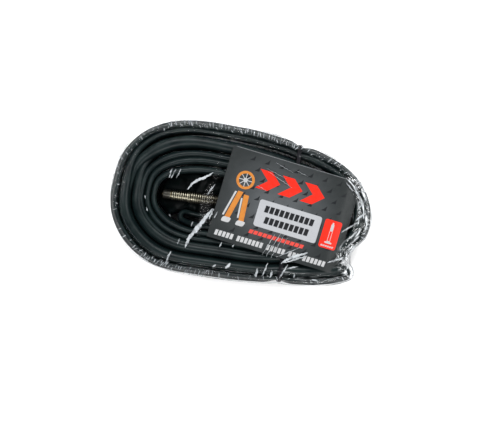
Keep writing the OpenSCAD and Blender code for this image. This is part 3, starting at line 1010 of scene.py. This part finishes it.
# Creases on the film's top, painted bright as highlights: width, then the route in plan
TOP_CREASES = [
    (0.65, [(-37.5, 6.5), (-37, 11.5)]),
    (0.5, [(-36.5, 6.5), (-35, 11.5)]),
    (0.5, [(-34, 7), (-32.5, 12)]),
    (1.22, [(-27.5, 2.5), (-26, 5.5), (-23.5, 8), (-20, 10), (-16.5, 13)]),
    (0.65, [(-17.5, 1.5), (-16, 5), (-14.5, 7.5)]),
    (1.87, [(-23.5, -26), (-22.5, -21), (-20, -16.5), (-17.5, -12), (-15.5, -8), (-13.5, -4.5)]),
    (0.72, [(-14.5, -10), (-13, -4.5)]),
    (0.58, [(-12, -9), (-11, -5.5)]),
    (0.58, [(-22.5, -15), (-22, -12.5)]),
    (0.58, [(-27.5, -25), (-27, -22)]),
    (0.65, [(-7, -22.5), (-6, -20)]),
    (0.58, [(-0.5, -21.5), (0, -20)]),
    (0.86, [(-31.5, -35.5), (-31, -32), (-30, -29)]),
    (1.15, [(-8.5, -33), (-7, -31.5)]),
    (1.3, [(-2, -32.5), (0, -29.5)]),
    (1.08, [(13.5, -34), (13.5, -29.5)]),
    (0.65, [(16.5, -33), (17.5, -29), (18, -26)]),
    (0.94, [(20.5, -33), (21, -29.5)]),
    (0.18, [(8.5, 20), (19.5, 16.5)]),
    (0.18, [(13, 23.5), (22.5, 20)]),
    (0.22, [(10, 18.5), (23.5, 12.5)]),
    (0.22, [(5.5, 11), (10.5, 9)]),
    (0.18, [(23.5, 21.5), (30, 19.5)]),
    (0.29, [(14.5, -22.5), (19, -11.5)]),
    (0.36, [(16.5, -23), (22, -10)]),
    (0.29, [(19, -23.5), (23.5, -11)]),
    (0.22, [(24, -16.5), (25.5, -12)]),
    (0.43, [(21.5, -22.5), (32.5, -15.5)]),
    (1.44, [(24.5, -25), (28.5, -21.5), (36.5, -17.5)]),
    (0.72, [(26, -24.5), (36.5, -19)]),
    (0.72, [(25, -32.5), (28, -25)]),
    (0.65, [(28, -27), (33, -25)]),
    (0.86, [(32, -31), (32, -29)]),
    (0.58, [(49, 20), (53, 16.5)]),
    (1.01, [(53, 18.5), (59.5, 11)]),
    (0.65, [(57, 8), (60.5, 14)]),
    (0.94, [(47, -20.5), (54.5, -16.5)]),
    (0.72, [(51, -4.5), (58.5, 2)]),
    (0.79, [(57, 2.5), (60.5, 6.5)]),
    (0.58, [(58, -23.5), (55.5, -21)]),
    (0.72, [(41, -30), (44.5, -30.5)]),
    (0.5, [(-47.8, -4.2), (-47.2, -5.8)]),
    (0.58, [(-46, -10), (-45, -11.5)]),
    (0.58, [(-34.3, -11.2), (-33.2, -12)]),
]


def film_place(row, column):
    """Point on the film between its rings and columns."""
    rings, around = FILM_RINGS.shape[:2]
    i, j = int(row), int(column) % around
    u, v = row - int(row), column - int(column)
    below, beside = min(i + 1, rings - 1), (j + 1) % around
    upper = FILM_RINGS[i, j] * (1 - v) + FILM_RINGS[i, beside] * v
    lower = FILM_RINGS[below, j] * (1 - v) + FILM_RINGS[below, beside] * v
    return upper * (1 - u) + lower * u


def rim_creases():
    """Short radial gathers all round the film's shoulder, thickest at the back and front left, painted pale
    as highlights.
    """
    ridges = []
    around = FILM_RINGS.shape[1]
    column = 0.0
    while column < around - 1:
        share = float(gather_share(*OUTLINE[int(column)]))
        column += RANDOM.uniform(0.8, 2.2) / share / OUTLINE_STEP
        if column >= around:
            break
        start = RANDOM.uniform(56, 64)
        rows = np.linspace(start, min(start + RANDOM.uniform(5, 11) * (0.4 + 0.6 * share), 71), 6)
        columns = column + RANDOM.uniform(-3, 3) * np.linspace(-0.5, 0.5, 6)
        line = np.array([film_place(r, c % around) for r, c in zip(rows, columns)])
        out = np.column_stack([0.7 * np.tile(OUTLINE_OUT[int(column) % around], (6, 1)), np.ones(6)])
        ridges.append(crease(line, out, RANDOM.uniform(0.2, 0.46), 0.08))
    return ridges


def side_creases():
    """Long shallow folds running round and slanting across the film's side wall, painted pale as highlights.
    """
    ridges = []
    around = FILM_RINGS.shape[1]
    for _ in range(40):
        column, length = RANDOM.uniform(0, around), RANDOM.uniform(6, 26) / OUTLINE_STEP
        row, slant = RANDOM.uniform(71, 80), RANDOM.uniform(-3, 3)
        steps = np.linspace(0, 1, 12)
        columns = column + length * steps
        line = np.array([film_place(min(row + slant * t, 82), c % around) for t, c in zip(steps, columns)])
        out = OUTLINE_OUT[columns.astype(int) % around]
        out = np.column_stack([out, np.zeros(len(out))])
        ridges.append(crease(line, out, RANDOM.uniform(0.1, 0.3), 0.12))
    return ridges


# The creases' pale colour is painted highlight.
make_creases("film_top_creases", [flat_crease(route, width) for width, route in TOP_CREASES], CREASE_PAINTED_GLINT)
make_creases("film_rim_creases", rim_creases(), FINE_CREASE)
make_creases("film_side_creases", side_creases(), FINE_CREASE)


# ---- Materials of the CAD pieces that stay ----

# The lock nut takes the shaded copy of the nickel; all these metals carry painted shade towards +x.
NODE_MATERIALS = {
    "valve_stem": NICKEL, "lock_nut": SHADED_NICKEL, "core_pin": BRASS, "core_body": BRASS,
    "core_gasket": SEAL, "pin_seal": SEAL, "valve_patch": BUTYL,
}
for node, material in NODE_MATERIALS.items():
    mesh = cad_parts[node].data
    mesh.materials.clear()
    mesh.materials.append(material)


# ---- Floor, lights and camera ----

def make_floor():
    size = 3000.0
    corners = [(-size, -size, 0), (size, -size, 0), (size, size, 0), (-size, size, 0)]
    floor = make_mesh("floor", np.array(corners) - np.array([0, 0, 0.2]), [(0, 1, 2, 3)], [floor_material()])


def area_light(name, place, size, power):
    light = bpy.data.lights.new(name, "AREA")
    light.shape, light.size, light.size_y, light.energy = "RECTANGLE", size[0], size[1], power
    thing = bpy.data.objects.new(name, light)
    bpy.context.scene.collection.objects.link(thing)
    thing.location = place
    thing.rotation_mode = "QUATERNION"
    thing.rotation_quaternion = (-Vector(place)).to_track_quat("-Z", "Y")


def make_light():
    area_light("softbox_back", (-0.10, 0.85, 0.95), (1.1, 0.45), 26)
    area_light("softbox_right", (0.95, 0.15, 0.90), (0.45, 1.0), 12)
    area_light("softbox_left", (-0.95, 0.10, 0.90), (0.45, 1.0), 11)
    area_light("softbox_front", (0.15, -0.90, 0.90), (1.1, 0.40), 15)
    world = bpy.data.worlds.new("studio")
    bpy.context.scene.world = world
    world.use_nodes = True
    world.node_tree.nodes["Background"].inputs["Color"].default_value = (0.95, 0.97, 1.0, 1)
    world.node_tree.nodes["Background"].inputs["Strength"].default_value = 0.06
    bpy.context.scene.view_settings.view_transform = "Standard"


def make_camera():
    """Straight above, turned so that the roll's long way slopes down to the right."""
    view_width, distance, sensor, turn = 249.0, 1500.0, 36.0, 10.5
    camera = bpy.data.cameras.new("camera")
    camera.sensor_width = sensor
    camera.lens = sensor * distance / view_width
    thing = bpy.data.objects.new("camera", camera)
    bpy.context.scene.collection.objects.link(thing)
    thing.location = (5.6 * MM, -4.2 * MM, (23 + distance) * MM)
    thing.rotation_euler = (0, 0, math.radians(turn))
    bpy.context.scene.camera = thing


make_floor()
make_light()
make_camera()
